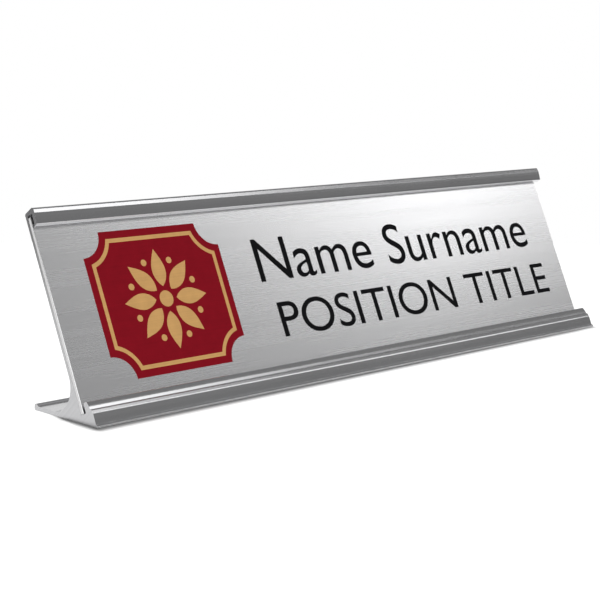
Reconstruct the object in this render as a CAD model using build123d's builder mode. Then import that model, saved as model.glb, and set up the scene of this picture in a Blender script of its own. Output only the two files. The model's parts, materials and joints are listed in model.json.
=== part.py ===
from build123d import *
import os
from math import cos, radians, sin

# Desk name plate: a leaning extruded holder with two open channels, and a two-ply insert that slides in.
# The origin is the middle of the flat underside. X runs along the plate, its face looks to -Y, and Z is up.

# Insert, a two by eight inch blank made of a face sheet bonded to a core sheet
insert_width = 203.2
insert_height = 50.8
face_thickness = 0.3
core_thickness = 0.8
insert_corner_radius = 0.5

# Holder as a whole
holder_length = 204.8
base_depth = 26.2
lean_angle = 24.5

# Room for the insert inside the two channels
slide_clearance = 0.05
head_clearance = 0.4
front_gap = 0.85
channel_radius = 0.3
seat_height = 2.66

# Leaning back and the top channel, whose lip hangs in front of the insert
back_thickness = 0.9
roof_thickness = 1.5
roof_fall = 0.7
roof_rear_radius = 0.5
top_lip_drop = 3.25
top_lip_thickness = 0.9
top_lip_flare = 0.36
top_lip_swell = 0.035
top_lip_slant = 0.3
top_lip_front_radius = 0.2
top_lip_rear_radius = 0.1

# Nib along the rear of the top lip's lower edge, which keeps the insert's front close
nib_gap = 0.3
nib_height = 0.35
nib_ramp = 0.35
nib_radius = 0.1

# Bevel that takes the top lip's front back to the rounded ridge of the roof
brow_height = 1.64
brow_setback = 0.22
brow_radius = 0.15
ridge_radius = 0.7

# Lower channel: a crowned lip, a fine groove, a rounded shoulder and the apron below it
lower_lip_rise = 2.55
lower_lip_thickness = 1.35
lip_tip_round_share = 0.4
crown_swell = 0.5
crown_radius = 3.5
crown_rise_share = 0.57
groove_slope = 0.25
groove_radius = 0.06
groove_rise_share = 0.16
shoulder_step = 0.4
shoulder_radius = 0.3
shoulder_rise_share = 0.06
apron_step = 0.26
apron_drop = 0.8
apron_tuck = 0.06
apron_swell = 0.025
apron_top_radius = 1.3

# Rounded toe along the front of the base, which slopes down from the foot of the apron
toe_height = 0.9
toe_fall = 0.35
toe_length = 0.75
toe_top_radius = 0.45
toe_bottom_radius = 0.15
toe_crease_radius = 0.1

# Foot behind the back, with a rounded bead along its rear edge
foot_thickness = 1.15
gusset_radius = 7.0
bead_height = 1.7
bead_width = 1.0
bead_ramp = 0.6
bead_foot_radius = 0.5
bead_top_radius = 0.6
bead_bottom_radius = 0.4

# Share of a swelled face, each side of its middle, that is one round stretch
swell_round_share = 0.6

# Lean of the back, as the two parts of a unit step up the insert's face
lean = radians(lean_angle)
rearward_share = sin(lean)
upward_share = cos(lean)

# Reaches are measured forward of the insert's face and rises up it, both from the insert's lower front edge
insert_thickness = face_thickness + core_thickness
back_front_reach = -insert_thickness - slide_clearance
back_rear_reach = back_front_reach - back_thickness
lip_tip_reach = front_gap + lower_lip_thickness
crown_reach = lip_tip_reach + crown_swell
groove_reach = crown_reach + groove_slope
shoulder_reach = groove_reach + shoulder_step
apron_reach = shoulder_reach + apron_step
apron_foot_reach = apron_reach - apron_tuck
top_lip_reach = front_gap + top_lip_thickness
brow_reach = top_lip_reach + top_lip_flare
ridge_reach = brow_reach - brow_setback
floor_rise = -slide_clearance
ceiling_rise = insert_height + head_clearance
roof_rise = ceiling_rise + roof_thickness
top_lip_rise = ceiling_rise - top_lip_drop
top_lip_front_rise = top_lip_rise + top_lip_slant
nib_rise = top_lip_rise + nib_height
brow_rise = roof_rise - brow_height
seat_corner_radius = slide_clearance + slide_clearance

# Front and rear ends of the flat underside, and where the insert's lower front edge sits above it
underside_front = -base_depth / 2
underside_rear = base_depth / 2
apron_foot_rise = (toe_height - seat_height - apron_foot_reach * rearward_share) / upward_share
apron_foot_depth = underside_front + toe_length
seat_depth = apron_foot_depth - apron_foot_rise * rearward_share + apron_foot_reach * upward_share


def on_face(rise, reach):
    """Point of the cross-section that lies up the insert's face by rise and in front of it by reach."""
    depth = seat_depth + rise * rearward_share - reach * upward_share
    height = seat_height + rise * upward_share + reach * rearward_share
    return (depth, height)


def swelled_middle(low_rise, low_reach, high_rise, high_reach, swell):
    """Corner that swells a face out at its middle, with the large radius that rounds it."""
    half_length = (high_rise - low_rise) / 2
    middle = on_face((low_rise + high_rise) / 2, (low_reach + high_reach) / 2 + swell)
    return (middle, swell_round_share * half_length * half_length / swell)


# Where the rear of the back meets the top of the foot
gusset_rise = (foot_thickness - seat_height - back_rear_reach * rearward_share) / upward_share

# Cross-section of the holder, as corners with the radius that rounds each of them
toe_and_apron = [
    ((underside_front, 0), toe_bottom_radius),
    ((underside_front, toe_height - toe_fall), toe_top_radius),
    ((apron_foot_depth, toe_height), toe_crease_radius),
    swelled_middle(apron_foot_rise, apron_foot_reach, -apron_drop, apron_reach, apron_swell),
    (on_face(-apron_drop, apron_reach), apron_top_radius),
    (on_face(lower_lip_rise * shoulder_rise_share, shoulder_reach), shoulder_radius),
]
lower_lip = [
    (on_face(lower_lip_rise * groove_rise_share, groove_reach), groove_radius),
    (on_face(lower_lip_rise * crown_rise_share, crown_reach), crown_radius),
    (on_face(lower_lip_rise, lip_tip_reach), lower_lip_thickness * lip_tip_round_share),
    (on_face(lower_lip_rise, front_gap), lower_lip_thickness * lip_tip_round_share),
]
channels = [
    (on_face(floor_rise, front_gap), channel_radius),
    (on_face(floor_rise, back_front_reach), seat_corner_radius),
    (on_face(ceiling_rise, back_front_reach), seat_corner_radius),
    (on_face(ceiling_rise, front_gap), channel_radius),
]
top_lip_and_roof = [
    (on_face(nib_rise + nib_ramp, front_gap), nib_radius),
    (on_face(nib_rise, nib_gap), nib_radius),
    (on_face(top_lip_rise, nib_gap), top_lip_rear_radius),
    (on_face(top_lip_front_rise, top_lip_reach), top_lip_front_radius),
    swelled_middle(top_lip_front_rise, top_lip_reach, brow_rise, brow_reach, top_lip_swell),
    (on_face(brow_rise, brow_reach), brow_radius),
    (on_face(roof_rise, ridge_reach), ridge_radius),
    (on_face(roof_rise - roof_fall, back_rear_reach), roof_rear_radius),
]
gusset_and_foot = [
    (on_face(gusset_rise, back_rear_reach), gusset_radius),
    ((underside_rear - bead_width - bead_ramp, foot_thickness), bead_foot_radius),
    ((underside_rear - bead_width, bead_height), bead_top_radius),
    ((underside_rear, bead_height), bead_top_radius),
    ((underside_rear, 0), bead_bottom_radius),
]
section = toe_and_apron + lower_lip + channels + top_lip_and_roof + gusset_and_foot

os.makedirs("parts", exist_ok=True)

# Holder: the cross-section drawn out to the holder's length
with BuildPart() as holder:
    with BuildSketch(Plane.YZ):
        with BuildLine():
            FilletPolyline(
                *[corner for corner, radius in section],
                radius=[radius for corner, radius in section],
                close=True,
            )
        make_face()
    extrude(amount=holder_length / 2, both=True)
holder.part.label = "holder"
export_step(holder.part, "parts/holder.step")


def sheet_plane(rear_reach):
    """Plane of a sheet's rear face, with its origin at the lower left corner, flush with the holder's end."""
    depth, height = on_face(0, rear_reach)
    return Plane(
        origin=(-holder_length / 2, depth, height),
        x_dir=(1, 0, 0),
        z_dir=(0, -upward_share, rearward_share),
    )


# Core sheet of the insert, which leans on the holder's back
with BuildPart() as insert_core:
    with BuildSketch(sheet_plane(-insert_thickness)):
        RectangleRounded(insert_width, insert_height, insert_corner_radius, align=(Align.MIN, Align.MIN))
    extrude(amount=core_thickness)
insert_core.part.label = "insert_core"
export_step(insert_core.part, "parts/insert_core.step")

# Face sheet of the insert, bonded to the front of the core
with BuildPart() as insert_face:
    with BuildSketch(sheet_plane(-face_thickness)):
        RectangleRounded(insert_width, insert_height, insert_corner_radius, align=(Align.MIN, Align.MIN))
    extrude(amount=face_thickness)
insert_face.part.label = "insert_face"
export_step(insert_face.part, "parts/insert_face.step")
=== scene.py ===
import json
import math

import bmesh
import bpy
from mathutils import Matrix, Quaternion, Vector


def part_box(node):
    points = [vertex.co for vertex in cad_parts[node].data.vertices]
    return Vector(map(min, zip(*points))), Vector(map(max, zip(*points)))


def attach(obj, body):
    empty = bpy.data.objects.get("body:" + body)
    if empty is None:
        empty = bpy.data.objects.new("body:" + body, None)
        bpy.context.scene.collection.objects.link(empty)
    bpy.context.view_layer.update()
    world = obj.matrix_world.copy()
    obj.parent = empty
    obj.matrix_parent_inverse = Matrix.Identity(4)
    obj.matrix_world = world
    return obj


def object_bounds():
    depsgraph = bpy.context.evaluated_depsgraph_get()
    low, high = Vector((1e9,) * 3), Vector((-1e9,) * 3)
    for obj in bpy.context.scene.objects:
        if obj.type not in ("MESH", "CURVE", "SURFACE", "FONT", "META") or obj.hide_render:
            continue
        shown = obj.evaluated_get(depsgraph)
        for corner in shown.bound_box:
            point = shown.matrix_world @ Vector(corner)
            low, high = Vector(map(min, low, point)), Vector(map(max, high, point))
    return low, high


# Desk name plate: finishes for the extruded holder and its two-ply insert, the print on the insert, and a
# white studio. Lengths are in metres, unless a comment says millimetres. X runs along the plate, its face
# looks to -Y, and Z is up.

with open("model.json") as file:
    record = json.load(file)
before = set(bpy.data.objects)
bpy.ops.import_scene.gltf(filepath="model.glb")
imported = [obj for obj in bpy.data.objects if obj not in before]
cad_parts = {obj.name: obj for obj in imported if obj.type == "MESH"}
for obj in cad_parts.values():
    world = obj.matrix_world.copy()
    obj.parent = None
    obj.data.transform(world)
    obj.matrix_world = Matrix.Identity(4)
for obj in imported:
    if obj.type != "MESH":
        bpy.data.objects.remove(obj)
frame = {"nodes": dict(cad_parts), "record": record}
cad_low, cad_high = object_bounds()

MM = 0.001

# Print on the face sheet, in millimetres from the sheet's lower left corner. Points of the words that lie
# closer than the merge distance are made one.
ink_thickness = 0.02
overprint_thickness = 0.015
merge_distance = 0.002
name_words = "Name Surname"
name_start = 69.0
name_end = 190.0
name_baseline = 26.5
name_cap_height = 12.5
title_words = "POSITION TITLE"
title_start = 72.0
title_end = 193.5
title_baseline = 10.3
title_cap_height = 10.0

# Ornament beside the words, in millimetres: a plaque with scooped corners, a line round it and a wheel of
# leaves. The leaves' taper is the power that puts their widest place nearer the foot than the tip.
ornament_centre = (34.7, 25.6)
plaque_width = 45.0
plaque_height = 39.0
plaque_scoop = 6.5
border_inset = 2.0
border_width = 1.1
leaf_count = 8
leaf_start = 3.4
leaf_length = 10.2
leaf_width = 4.4
leaf_taper = 0.8
dot_radius = 0.9
dot_ring_radius = 11.0
hub_radius = 2.2
arc_steps = 16

# Noise: the range that one noise mostly fills, the range that two added together fill, the range of a
# factor, and levels of detail
noise_range = (0.3, 0.7)
noise_pair_range = (2 * noise_range[0], 2 * noise_range[1])
unit_range = (0.0, 1.0)
cloud_detail = 2.0
streak_detail = 3.0
fine_detail = 4.0

# Drawn metal of the holder. Here and below, streaks are counts per metre along X and across it, marks and
# mottling are counts per metre, tones are shares of the finish's colour, and bump depths are in millimetres.
die_lines = (5.0, 2400.0)
fine_die_lines = (14.0, 9000.0)
die_line_share = 0.6
handling_marks = 45.0
drawn_tones = (0.94, 1.05)
drawn_roughness = (0.15, 0.2)
drawn_bump_share = 0.35
metal_bump_strength = 0.12
metal_bump_depth = 0.02

# Cut ends of the holder: how squarely a face looks along X where the ends' look begins and is whole, and the
# marks of a saw whose hub lies behind and above. The ends' darker tones are partly a duller saw-cut finish
# and partly painted shade.
cut_end_fade = (0.7, 0.95)
saw_hub = (0.0, 0.11, 0.12)
saw_lines = 3500.0
cut_tones_with_painted_shade = (0.74, 0.9)
cut_roughness = (0.28, 0.36)

# Brushed face sheet of the insert
brush_strokes = (14.0, 2600.0)
brush_hairs = (40.0, 9000.0)
brush_patches = (9.0, 160.0)
stroke_share = 0.55
brushed_tones = (0.955, 1.04)
brushed_roughness = (0.24, 0.3)
brushed_anisotropy = 0.25
brushed_bump_strength = 0.11
brushed_bump_depth = 0.02

# Pale core sheet of the insert
core_ripple = (900.0, 900.0)
core_mottling = 220.0
core_tones = (0.93, 1.03)
core_roughness = (0.42, 0.55)
core_bump_strength = 0.25
core_bump_depth = 0.03

# Inks, which take the brush strokes of the sheet under them
ink_mottling = 400.0
ink_tones = (0.9, 1.08)
ink_roughness = (0.5, 0.62)
ink_specular = 0.04
ink_bump_strength = 0.1
ink_bump_depth = 0.01

# Camera that took the photograph, worked out from the plate's long edges and ends: millimetres from the
# sheet's lower left corner, turns in degrees, lens and sensor in millimetres, and how near and far it sees
camera_offset = (-215.795, -292.560, 88.665)
camera_yaw = 44.629
camera_pitch = 9.476
camera_roll = 0.649
camera_lens = 91.605
camera_sensor = 36.0
camera_near = 0.01
camera_far = 20.0

# Floor: the grey that takes the shadow, and its own white, a glow, with the distances past the holder at
# which that glow begins and is whole. Its lack near the holder is painted shade, and further off it is
# painted light over the soft shadow. Its drop below the holder is in millimetres.
floor_radius = 0.3
floor_segments = 96
floor_drop = 0.05
floor_grey = 0.6
floor_roughness = 0.9
floor_white = 0.8
floor_white_start = 0.0008
floor_white_whole = 0.0034

# Where the glow comes sooner, as painted light over the shadow: distances past the holder's ends are
# stretched, and a share of the whole distance is added towards the rear and towards the right end
end_painted_light_share = 1.6
rear_painted_light_share = 1.0
right_painted_light_share = 0.3

# Room: a white backdrop behind the plate, and walls that are dimmer near the floor. Each fade gives the part
# of a unit direction, towards the backdrop's middle or upwards, at which a level begins and is whole.
backdrop_azimuth = 152.0
backdrop_level = 0.9
backdrop_side_fade = (0.70, 0.92)
backdrop_top_fade = (0.6, 0.35)
room_level = 0.26
low_room_level = 0.2
room_fade = (0.18, 0.4)

# Softboxes that face the plate, and how far off they stand. Each has its azimuth and elevation in degrees,
# its width and height, its lean in degrees, and its radiance.
softbox_distance = 2.0
strip_lean = 21.0
softboxes = {
    "strip_softbox": (54.0, 37.0, 0.277, 1.105, strip_lean, 1.98),
    "low_softbox": (67.0, 22.6, 0.22, 0.36, strip_lean, 1.42),
    "fill_softbox": (318.0, 6.0, 0.8, 0.3, 0.0, 38.0),
    "back_softbox": (157.0, 59.0, 0.2, 0.2, 0.0, 110.0),
}

finish_colour = {entry["slot"]: entry["base_color"] for entry in frame["record"]["materials"]}


def grey(level):
    """Opaque grey of one level."""
    return (level, level, level, 1.0)


def scaled_colour(colour, share):
    """Opaque colour made lighter or darker by a share."""
    return (colour[0] * share, colour[1] * share, colour[2] * share, 1.0)


def add_node(tree, kind, inputs=None, **settings):
    """Adds a node. The inputs are named or numbered sockets, each with a value or another node's output."""
    made = tree.nodes.new("ShaderNode" + kind)
    for name, value in settings.items():
        setattr(made, name, value)
    for key, value in (inputs or {}).items():
        if isinstance(value, bpy.types.NodeSocket):
            tree.links.new(value, made.inputs[key])
        else:
            made.inputs[key].default_value = value
    return made


def new_material(name):
    """New material with a Principled shader: the material, its node tree and the shader."""
    material = bpy.data.materials.new(name)
    material.use_nodes = True
    tree = material.node_tree
    tree.nodes.clear()
    shader = add_node(tree, "BsdfPrincipled")
    add_node(tree, "OutputMaterial", {"Surface": shader.outputs["BSDF"]})
    return material, tree, shader


def math_node(tree, operation, first, second=0.0):
    """Result of one sum on two numbers or sockets."""
    return add_node(tree, "Math", {0: first, 1: second}, operation=operation).outputs[0]


def vector_math(tree, operation, first, second=(0.0, 0.0, 0.0)):
    """Vector that comes of one sum on two vectors or sockets."""
    return add_node(tree, "VectorMath", {0: first, 1: second}, operation=operation).outputs[0]


def vector_length(tree, vector):
    """Length of a vector."""
    return add_node(tree, "VectorMath", {0: vector}, operation="LENGTH").outputs["Value"]


def remap(tree, value, low, high, out_low, out_high):
    """Value stretched from one range to another, and held within it."""
    inputs = {"Value": value, "From Min": low, "From Max": high, "To Min": out_low, "To Max": out_high}
    return add_node(tree, "MapRange", inputs).outputs["Result"]


def streaks(tree, along, across, detail=streak_detail):
    """Noise drawn out along X: streaks of about 1/along by 1/across metres."""
    place = add_node(tree, "TexCoord").outputs["Object"]
    stretched = add_node(tree, "Mapping", {"Vector": place, "Scale": (along, across, across)})
    noise = add_node(tree, "TexNoise", {"Vector": stretched.outputs[0], "Scale": 1.0, "Detail": detail})
    return noise.outputs["Fac"]


def cloud(tree, scale, detail=cloud_detail):
    """Even noise with features of about 1/scale metres."""
    place = add_node(tree, "TexCoord").outputs["Object"]
    noise = add_node(tree, "TexNoise", {"Vector": place, "Scale": scale, "Detail": detail})
    return noise.outputs["Fac"]


def blended(tree, first, second, share):
    """Two patterns added up, with a share of the first and the rest of the second."""
    first_part = math_node(tree, "MULTIPLY", first, share)
    second_part = math_node(tree, "MULTIPLY", second, 1 - share)
    return math_node(tree, "ADD", first_part, second_part)


def mix_values(tree, factor, first, second):
    """Number between two, by a factor from 0 to 1."""
    return add_node(tree, "Mix", {"Factor": factor, "A": first, "B": second}, data_type="FLOAT").outputs[0]


def shaded(tree, factor, dark, light):
    """Colour between two, by a factor from 0 to 1."""
    mix = add_node(tree, "Mix", {"Factor": factor, "A": dark, "B": light}, data_type="RGBA")
    return mix.outputs[2]


def toned(tree, factor, colour, tones):
    """Colour between a darker and a lighter tone of it, by a factor from 0 to 1."""
    return shaded(tree, factor, scaled_colour(colour, tones[0]), scaled_colour(colour, tones[1]))


def add_bump(tree, shader, height, strength, depth):
    """Lets a pattern's height show in the shading, to a depth in millimetres."""
    bump = add_node(tree, "Bump", {"Strength": strength, "Distance": depth * MM, "Height": height})
    tree.links.new(bump.outputs[0], shader.inputs["Normal"])


def cut_end_mask(tree):
    """1 on faces that look along X, which are cut ends, and 0 on the others."""
    normal = add_node(tree, "NewGeometry").outputs["Normal"]
    sideways = add_node(tree, "SeparateXYZ", {"Vector": normal}).outputs["X"]
    return remap(tree, math_node(tree, "ABSOLUTE", sideways), *cut_end_fade, *unit_range)


def saw_marks(tree):
    """Fine arcs that a large circular saw leaves on a cut end."""
    place = add_node(tree, "TexCoord").outputs["Object"]
    from_hub = vector_math(tree, "SUBTRACT", place, saw_hub)
    flat = vector_math(tree, "MULTIPLY", from_hub, (0.0, 1.0, 1.0))
    inputs = {"W": vector_length(tree, flat), "Scale": saw_lines, "Detail": streak_detail}
    return add_node(tree, "TexNoise", inputs, noise_dimensions="1D").outputs["Fac"]


def satin_aluminium(name, colour):
    """Clear anodised extrusion: faint die lines along X, and duller saw-cut ends, darkened partly with
    painted shade.
    """
    material, tree, shader = new_material(name)
    ends = cut_end_mask(tree)
    sawn = saw_marks(tree)
    lines = blended(tree, streaks(tree, *die_lines), streaks(tree, *fine_die_lines), die_line_share)
    handled = math_node(tree, "ADD", lines, cloud(tree, handling_marks))
    pattern = mix_values(tree, ends, lines, sawn)
    tone = remap(tree, pattern, *noise_range, *unit_range)
    drawn = toned(tree, tone, colour, drawn_tones)
    # Darker tone of the cut ends: partly a duller saw-cut finish, partly painted shade
    cut = toned(tree, tone, colour, cut_tones_with_painted_shade)
    smooth = remap(tree, handled, *noise_pair_range, *drawn_roughness)
    rough = remap(tree, sawn, *noise_range, *cut_roughness)
    height = math_node(tree, "MULTIPLY", pattern, mix_values(tree, ends, drawn_bump_share, 1.0))
    tree.links.new(shaded(tree, ends, drawn, cut), shader.inputs["Base Color"])
    tree.links.new(mix_values(tree, ends, smooth, rough), shader.inputs["Roughness"])
    add_bump(tree, shader, height, metal_bump_strength, metal_bump_depth)
    shader.inputs["Metallic"].default_value = 1.0
    return material


def brushed_sheet(name, colour):
    """Silver sheet brushed along X, in short overlapping strokes."""
    material, tree, shader = new_material(name)
    strokes = streaks(tree, *brush_strokes, fine_detail)
    grain = blended(tree, strokes, streaks(tree, *brush_hairs), stroke_share)
    uneven = math_node(tree, "ADD", grain, streaks(tree, *brush_patches))
    tone = remap(tree, grain, *noise_range, *unit_range)
    upward = add_node(tree, "CombineXYZ", {"Z": 1.0}).outputs[0]
    tree.links.new(toned(tree, tone, colour, brushed_tones), shader.inputs["Base Color"])
    tree.links.new(remap(tree, uneven, *noise_pair_range, *brushed_roughness), shader.inputs["Roughness"])
    tree.links.new(upward, shader.inputs["Tangent"])
    add_bump(tree, shader, grain, brushed_bump_strength, brushed_bump_depth)
    shader.inputs["Metallic"].default_value = 1.0
    shader.inputs["Anisotropic"].default_value = brushed_anisotropy
    return material


def core_plastic(name, colour):
    """Pale core sheet, with the fine ripple of its cut edge."""
    material, tree, shader = new_material(name)
    ripple = streaks(tree, *core_ripple)
    mottling = cloud(tree, core_mottling)
    tone = remap(tree, math_node(tree, "ADD", ripple, mottling), *noise_pair_range, *unit_range)
    tree.links.new(toned(tree, tone, colour, core_tones), shader.inputs["Base Color"])
    tree.links.new(remap(tree, mottling, *noise_range, *core_roughness), shader.inputs["Roughness"])
    add_bump(tree, shader, ripple, core_bump_strength, core_bump_depth)
    return material


def printed_ink(name, colour):
    """Ink that has sunk into the brushed sheet, so that the strokes still show faintly."""
    material, tree, shader = new_material(name)
    strokes = streaks(tree, *brush_strokes, fine_detail)
    mottling = cloud(tree, ink_mottling, fine_detail)
    tone = remap(tree, math_node(tree, "ADD", strokes, mottling), *noise_pair_range, *unit_range)
    tree.links.new(toned(tree, tone, colour, ink_tones), shader.inputs["Base Color"])
    tree.links.new(remap(tree, strokes, *noise_range, *ink_roughness), shader.inputs["Roughness"])
    add_bump(tree, shader, strokes, ink_bump_strength, ink_bump_depth)
    shader.inputs["Specular IOR Level"].default_value = ink_specular
    return material


def dress_node(node, material):
    """Gives a CAD node its finish."""
    mesh = frame["nodes"][node].data
    mesh.materials.clear()
    mesh.materials.append(material)


def sheet_frame():
    """Matrix from places on the face sheet (along it, up it, out of it) to the frame."""
    mesh = frame["nodes"]["insert_face"].data
    front = max((face for face in mesh.polygons if face.normal.y < 0), key=lambda face: face.area)
    out = front.normal.normalized()
    along = Vector((1.0, 0.0, 0.0))
    up = out.cross(along)
    left_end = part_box("insert_face")[0].x
    reach = max(vertex.co.dot(out) for vertex in mesh.vertices)
    rise = min(vertex.co.dot(up) for vertex in mesh.vertices)
    corner = along * left_end + up * rise + out * reach
    axes = Matrix((along, up, out)).transposed().to_4x4()
    return Matrix.Translation(corner) @ axes


def arc(centre, radius, start, end, steps=arc_steps):
    """Points of an arc, in degrees from start to end, both ends included."""
    angles = [math.radians(start + (end - start) * step / steps) for step in range(steps + 1)]
    return [(centre[0] + radius * math.cos(angle), centre[1] + radius * math.sin(angle)) for angle in angles]


def plaque_outline(inset):
    """Plaque's outline, drawn in by an inset: a rectangle with a quarter circle out of each corner."""
    half_width = plaque_width / 2
    half_height = plaque_height / 2
    radius = plaque_scoop + inset
    reach = math.degrees(math.asin(inset / radius))
    points = []
    for across, up, start in ((1, -1, 180), (1, 1, 270), (-1, 1, 0), (-1, -1, 90)):
        corner = (ornament_centre[0] + across * half_width, ornament_centre[1] + up * half_height)
        points += reversed(arc(corner, radius, start - 90 + reach, start - reach))
    return points


def circle_outline(centre, radius):
    """Closed circle of points."""
    return arc(centre, radius, 0, 360, 2 * arc_steps)[:-1]


def leaf_outline(angle):
    """Pointed leaf that lies along a direction from the ornament's centre."""
    turn = math.radians(angle)
    half = leaf_width / 2
    edge = []
    for step in range(arc_steps + 1):
        share = step / arc_steps
        edge.append((leaf_start + leaf_length * share, half * math.sin(math.pi * share ** leaf_taper)))
    around = edge + [(reach, -side) for reach, side in reversed(edge[1:-1])]
    return [
        (
            ornament_centre[0] + reach * math.cos(turn) - side * math.sin(turn),
            ornament_centre[1] + reach * math.sin(turn) + side * math.cos(turn),
        )
        for reach, side in around
    ]


def add_slab(made, outline, bottom, top):
    """Closed slab with one outline."""
    low = [made.verts.new((x, y, bottom)) for x, y in outline]
    high = [made.verts.new((x, y, top)) for x, y in outline]
    made.faces.new(high)
    made.faces.new(list(reversed(low)))
    for first in range(len(outline)):
        second = (first + 1) % len(outline)
        made.faces.new((low[first], low[second], high[second], high[first]))


def add_band(made, outer, inner, bottom, top):
    """Closed band between two outlines with the same number of points."""
    rings = [
        [made.verts.new((x, y, height)) for x, y in outline]
        for outline, height in ((outer, bottom), (outer, top), (inner, top), (inner, bottom))
    ]
    for ring, following in zip(rings, rings[1:] + rings[:1]):
        for first in range(len(ring)):
            second = (first + 1) % len(ring)
            made.faces.new((ring[first], ring[second], following[second], following[first]))


def build_field(made, bottom, top):
    """Plaque behind the ornament."""
    add_slab(made, plaque_outline(0.0), bottom, top)


def build_border(made, bottom, top):
    """Line that follows the plaque's edge."""
    add_band(made, plaque_outline(border_inset), plaque_outline(border_inset + border_width), bottom, top)


def build_wheel(made, bottom, top):
    """Leaves round a hub, with a dot between each two leaf tips."""
    for leaf in range(leaf_count):
        angle = 360 / leaf_count * leaf
        add_slab(made, leaf_outline(angle), bottom, top)
        between = math.radians(angle + 180 / leaf_count)
        centre = (
            ornament_centre[0] + dot_ring_radius * math.cos(between),
            ornament_centre[1] + dot_ring_radius * math.sin(between),
        )
        add_slab(made, circle_outline(centre, dot_radius), bottom, top)
    add_slab(made, circle_outline(ornament_centre, hub_radius), bottom, top)


def place_ink(name, mesh, material):
    """Object for a mesh of print in millimetres on the sheet, which rides on the insert."""
    mesh.transform(sheet_frame() @ Matrix.Scale(MM, 4))
    mesh.materials.append(material)
    piece = bpy.data.objects.new(name, mesh)
    bpy.context.scene.collection.objects.link(piece)
    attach(piece, "insert")


def ink_object(name, build, base, thickness, material):
    """Piece of the ornament: build fills a bmesh in millimetres on the sheet, from base up."""
    made = bmesh.new()
    build(made, base, base + thickness)
    bmesh.ops.recalc_face_normals(made, faces=made.faces)
    mesh = bpy.data.meshes.new(name)
    made.to_mesh(mesh)
    made.free()
    place_ink(name, mesh, material)


def printed_line(name, words, start, end, baseline, cap_height, material):
    """Line of placeholder words, made one unit thick, then fitted to its place and to the ink's thickness."""
    curve = bpy.data.curves.new(name + "_curve", "FONT")
    curve.body = words
    curve.extrude = 1 / 2
    source = bpy.data.objects.new(name + "_source", curve)
    bpy.context.scene.collection.objects.link(source)
    bpy.context.view_layer.update()
    mesh = bpy.data.meshes.new_from_object(source.evaluated_get(bpy.context.evaluated_depsgraph_get()))
    mesh.name = name
    bpy.data.objects.remove(source)
    bpy.data.curves.remove(curve)
    left = min(vertex.co.x for vertex in mesh.vertices)
    right = max(vertex.co.x for vertex in mesh.vertices)
    capital = max(vertex.co.y for vertex in mesh.vertices)
    stretch = Matrix.Diagonal(((end - start) / (right - left), cap_height / capital, ink_thickness, 1.0))
    to_sheet = Matrix.Translation((start, baseline, ink_thickness / 2))
    mesh.transform(to_sheet @ stretch @ Matrix.Translation((-left, 0.0, 0.0)))
    joined = bmesh.new()
    joined.from_mesh(mesh)
    bmesh.ops.remove_doubles(joined, verts=joined.verts, dist=merge_distance)
    joined.to_mesh(mesh)
    joined.free()
    place_ink(name, mesh, material)


def distance_past_holder(tree):
    """How far a place on the floor lies past the holder, plus more where the glow is painted light sooner."""
    base_low, base_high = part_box("holder")
    middle = (base_low + base_high) / 2
    half = (base_high - base_low) / 2
    place = add_node(tree, "TexCoord").outputs["Object"]
    from_middle = vector_math(tree, "SUBTRACT", place, (middle.x, middle.y, 0.0))
    either_side = vector_math(tree, "ABSOLUTE", from_middle)
    past_edge = vector_math(tree, "SUBTRACT", either_side, (half.x, half.y, 0.0))
    outside = vector_math(tree, "MAXIMUM", past_edge)
    stretched = vector_math(tree, "MULTIPLY", outside, (end_painted_light_share, 1.0, 1.0))
    parts = add_node(tree, "SeparateXYZ", {"Vector": place}).outputs
    # Painted light: the glow comes sooner towards the rear and towards the right end
    rear_painted_light = remap(tree, parts["Y"], 0.0, half.y / 2, 0.0, rear_painted_light_share * floor_white_whole)
    right_painted_light = remap(tree, parts["X"], -half.x, half.x, 0.0, right_painted_light_share * floor_white_whole)
    fade = math_node(tree, "ADD", rear_painted_light, right_painted_light)
    return math_node(tree, "ADD", vector_length(tree, stretched), fade)


def make_floor():
    """White floor that takes the shadow near the plate, with painted shade there; seen or mirrored, its own
    white glows further off as painted light over the soft shadow.
    """
    made = bmesh.new()
    bmesh.ops.create_circle(made, cap_ends=True, radius=floor_radius, segments=floor_segments)
    mesh = bpy.data.meshes.new("floor")
    made.to_mesh(mesh)
    made.free()
    floor = bpy.data.objects.new("floor", mesh)
    floor.location.z = cad_low.z - floor_drop * MM
    bpy.context.scene.collection.objects.link(floor)
    material, tree, shader = new_material("white_floor")
    path = add_node(tree, "LightPath").outputs
    seen = math_node(tree, "MAXIMUM", path["Is Camera Ray"], path["Is Glossy Ray"])
    seen = math_node(tree, "MAXIMUM", seen, path["Is Transmission Ray"])
    distance = distance_past_holder(tree)
    # Glow of painted light over the soft shadow further off; its lack near the holder is painted shade
    shadow_painting_glow = remap(tree, distance, floor_white_start, floor_white_whole, 0.0, floor_white)
    tree.links.new(math_node(tree, "MULTIPLY", seen, shadow_painting_glow), shader.inputs["Emission Strength"])
    shader.inputs["Base Color"].default_value = grey(floor_grey)
    shader.inputs["Roughness"].default_value = floor_roughness
    shader.inputs["Specular IOR Level"].default_value = 0.0
    shader.inputs["Emission Color"].default_value = grey(1.0)
    mesh.materials.append(material)


def direction_from(azimuth, elevation):
    """Direction from the plate: degrees to the right of its front, and degrees above the floor."""
    turn = math.radians(azimuth)
    climb = math.radians(elevation)
    return Vector((math.sin(turn) * math.cos(climb), -math.cos(turn) * math.cos(climb), math.sin(climb)))


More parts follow.
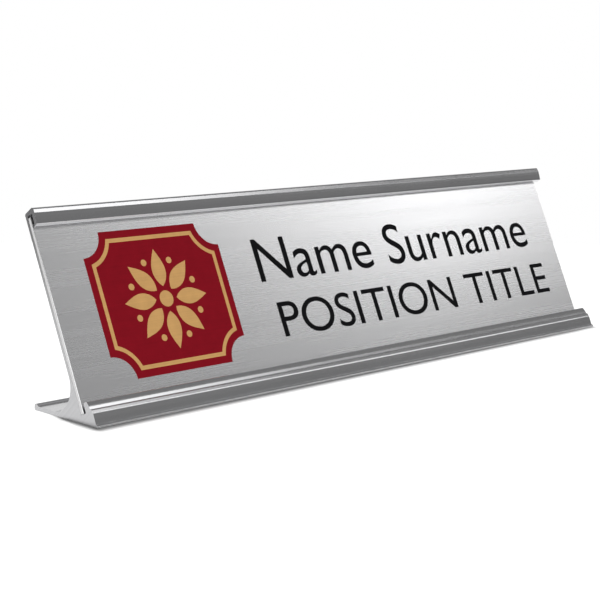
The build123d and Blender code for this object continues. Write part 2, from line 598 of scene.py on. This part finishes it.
def make_world():
    """Studio room: a white backdrop behind the plate, as wide as the camera sees, and dim walls elsewhere."""
    world = bpy.data.worlds.new("studio")
    bpy.context.scene.world = world
    world.use_nodes = True
    tree = world.node_tree
    tree.nodes.clear()
    direction = add_node(tree, "TexCoord").outputs["Generated"]
    inputs = {0: direction, 1: direction_from(backdrop_azimuth, 0.0)}
    facing = add_node(tree, "VectorMath", inputs, operation="DOT_PRODUCT").outputs["Value"]
    height = add_node(tree, "SeparateXYZ", {"Vector": direction}).outputs["Z"]
    across = remap(tree, facing, *backdrop_side_fade, *unit_range)
    below = remap(tree, height, *backdrop_top_fade, *unit_range)
    backdrop = math_node(tree, "MULTIPLY", across, below)
    walls = shaded(tree, remap(tree, height, *room_fade, *unit_range), grey(low_room_level), grey(room_level))
    room = shaded(tree, backdrop, walls, grey(backdrop_level))
    path = add_node(tree, "LightPath").outputs
    colour = shaded(tree, path["Is Camera Ray"], room, grey(1.0))
    background = add_node(tree, "Background", {"Color": colour, "Strength": 1.0})
    add_node(tree, "OutputWorld", {"Surface": background.outputs[0]})


def softbox(name, azimuth, elevation, width, height, lean, radiance):
    """Rectangular softbox that faces the plate, leaned over by an angle, as bright as its radiance says."""
    light = bpy.data.lights.new(name, "AREA")
    light.shape = "RECTANGLE"
    light.size = width
    light.size_y = height
    light.energy = radiance * math.pi * width * height
    lamp = bpy.data.objects.new(name, light)
    aim = (cad_low + cad_high) / 2
    outward = direction_from(azimuth, elevation)
    lamp.location = aim + outward * softbox_distance
    lamp.rotation_mode = "QUATERNION"
    lamp.rotation_quaternion = Quaternion(outward, math.radians(lean)) @ (-outward).to_track_quat("-Z", "Y")
    lamp.visible_camera = False
    bpy.context.scene.collection.objects.link(lamp)


def make_lights():
    """Leaning strips on the right for the metal, a low fill for the print, and a rear lamp for the floor."""
    for name, values in softboxes.items():
        softbox(name, *values)


def make_camera():
    """Camera at the photograph's viewpoint."""
    yaw = math.radians(camera_yaw)
    pitch = math.radians(camera_pitch)
    roll = math.radians(camera_roll)
    forward = Vector((math.sin(yaw) * math.cos(pitch), math.cos(yaw) * math.cos(pitch), -math.sin(pitch)))
    level = Vector((math.cos(yaw), -math.sin(yaw), 0.0))
    upright = level.cross(forward)
    right = level * math.cos(roll) + upright * math.sin(roll)
    up = upright * math.cos(roll) - level * math.sin(roll)
    lens = bpy.data.cameras.new("camera")
    lens.lens = camera_lens
    lens.sensor_width = camera_sensor
    lens.clip_start = camera_near
    lens.clip_end = camera_far
    camera = bpy.data.objects.new("camera", lens)
    axes = Matrix((right, up, -forward)).transposed().to_4x4()
    place = sheet_frame().translation + Vector(camera_offset) * MM
    camera.matrix_world = Matrix.Translation(place) @ axes
    bpy.context.scene.collection.objects.link(camera)
    bpy.context.scene.camera = camera


dress_node("holder", satin_aluminium("satin_aluminium", finish_colour["holder_aluminium"]))
dress_node("insert_core", core_plastic("core_plastic", finish_colour["insert_core_plastic"]))
dress_node("insert_face", brushed_sheet("brushed_sheet", finish_colour["insert_face_brushed"]))

black_ink = printed_ink("black_ink", finish_colour["print_black"])
crimson_ink = printed_ink("crimson_ink", finish_colour["print_crimson"])
tan_ink = printed_ink("tan_ink", finish_colour["print_tan"])

ink_object("ornament_field", build_field, 0.0, ink_thickness, crimson_ink)
ink_object("ornament_border", build_border, ink_thickness, overprint_thickness, tan_ink)
ink_object("ornament_wheel", build_wheel, ink_thickness, overprint_thickness, tan_ink)
printed_line(
    "name_line", name_words, name_start, name_end, name_baseline, name_cap_height,
    black_ink,
)
printed_line(
    "title_line", title_words, title_start, title_end, title_baseline, title_cap_height,
    black_ink,
)

make_floor()
make_world()
make_lights()
make_camera()
bpy.context.scene.view_settings.view_transform = "Standard"
